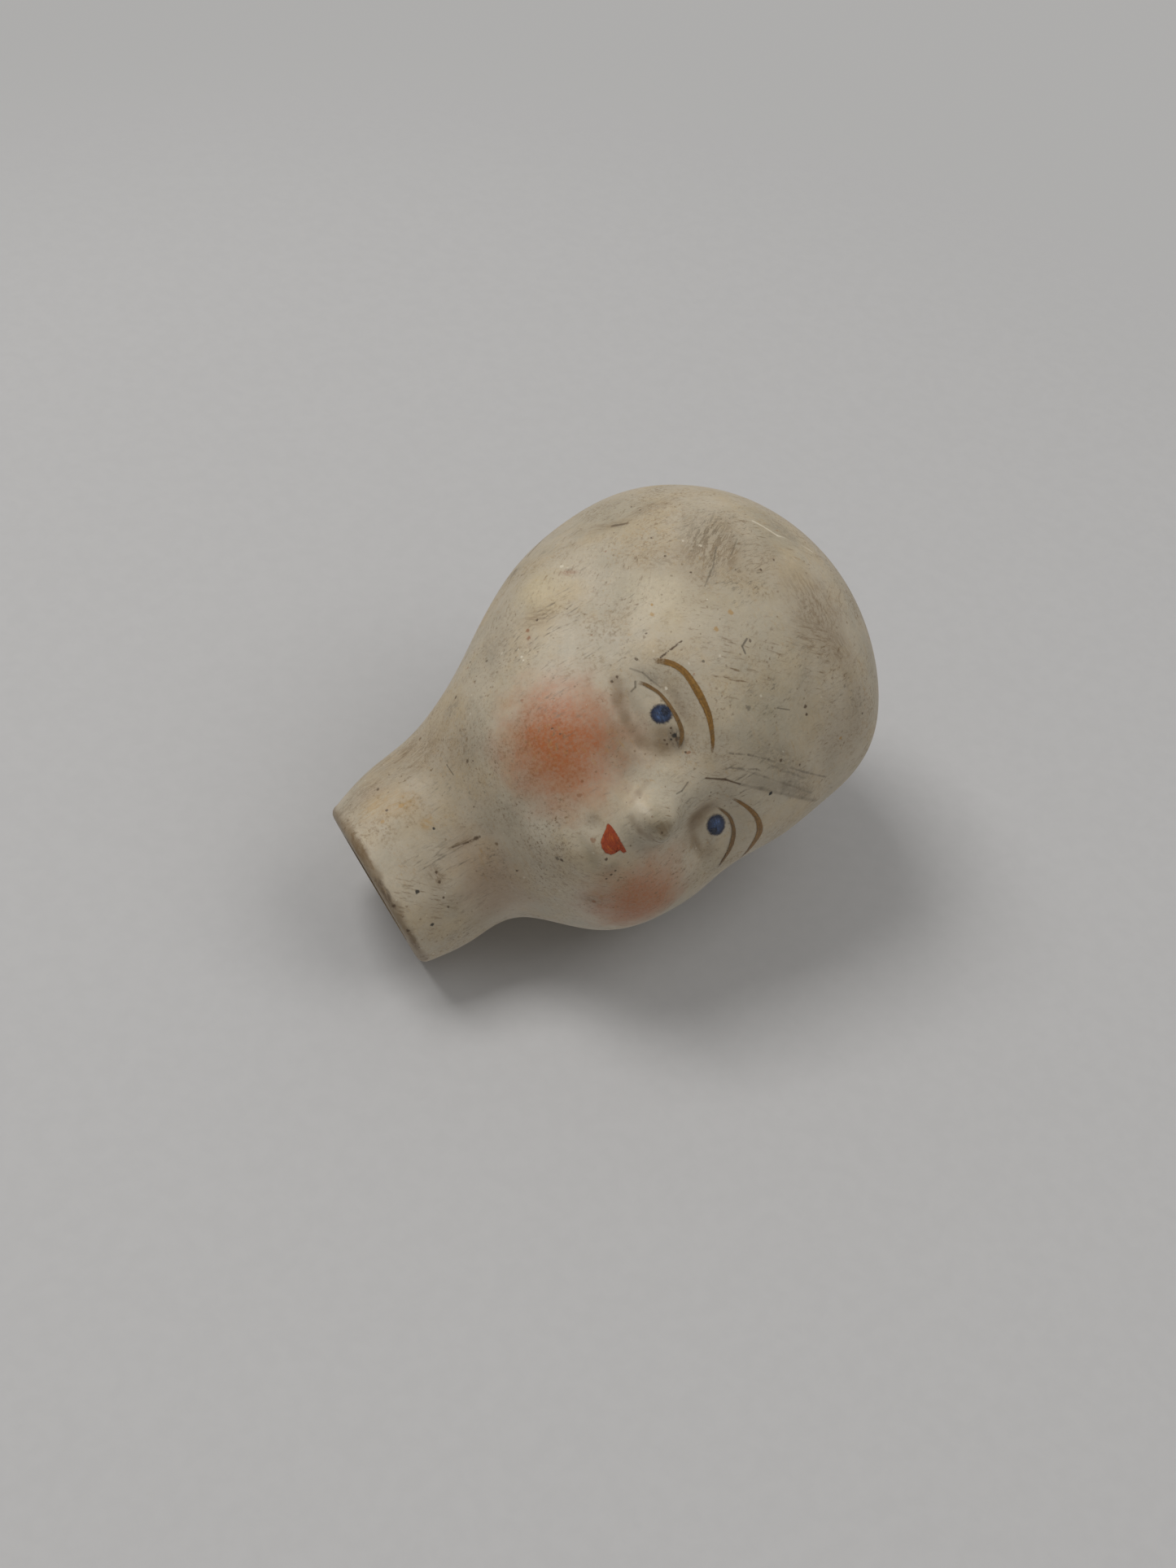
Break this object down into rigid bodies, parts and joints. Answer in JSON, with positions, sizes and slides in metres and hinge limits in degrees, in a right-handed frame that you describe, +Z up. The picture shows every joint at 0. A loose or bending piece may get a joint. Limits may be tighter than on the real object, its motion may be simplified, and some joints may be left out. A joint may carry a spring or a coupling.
{
  "type": "doll head",
  "caption": "Bald doll's head of unglazed porcelain, hollow with an open flat-ended neck, its face painted in fired enamel.",
  "frame": {"origin": "on the level of the neck's flat cut end, under the middle of the whole head", "axes": "+Z up through the crown, the face looks along -Y, +X is the doll's left"},
  "size_m": [0.0342, 0.0398, 0.05],
  "materials": {
    "bisque": "matt unglazed porcelain, dusty, with airbrushed cheeks",
    "ochre_enamel": "thin fired china paint, satin",
    "blue_enamel": "thin fired china paint, satin",
    "dark_enamel": "thin fired china paint, satin",
    "red_enamel": "thin fired china paint, satin"
  },
  "bodies": {
    "root": {"bisque_head": "bisque", "right_brow": "ochre_enamel", "left_brow": "ochre_enamel", "right_lash_line": "ochre_enamel", "left_lash_line": "ochre_enamel", "right_iris": "blue_enamel", "left_iris": "blue_enamel", "right_pupil": "dark_enamel", "left_pupil": "dark_enamel", "lips": "red_enamel"}
  },
  "joints": []
}
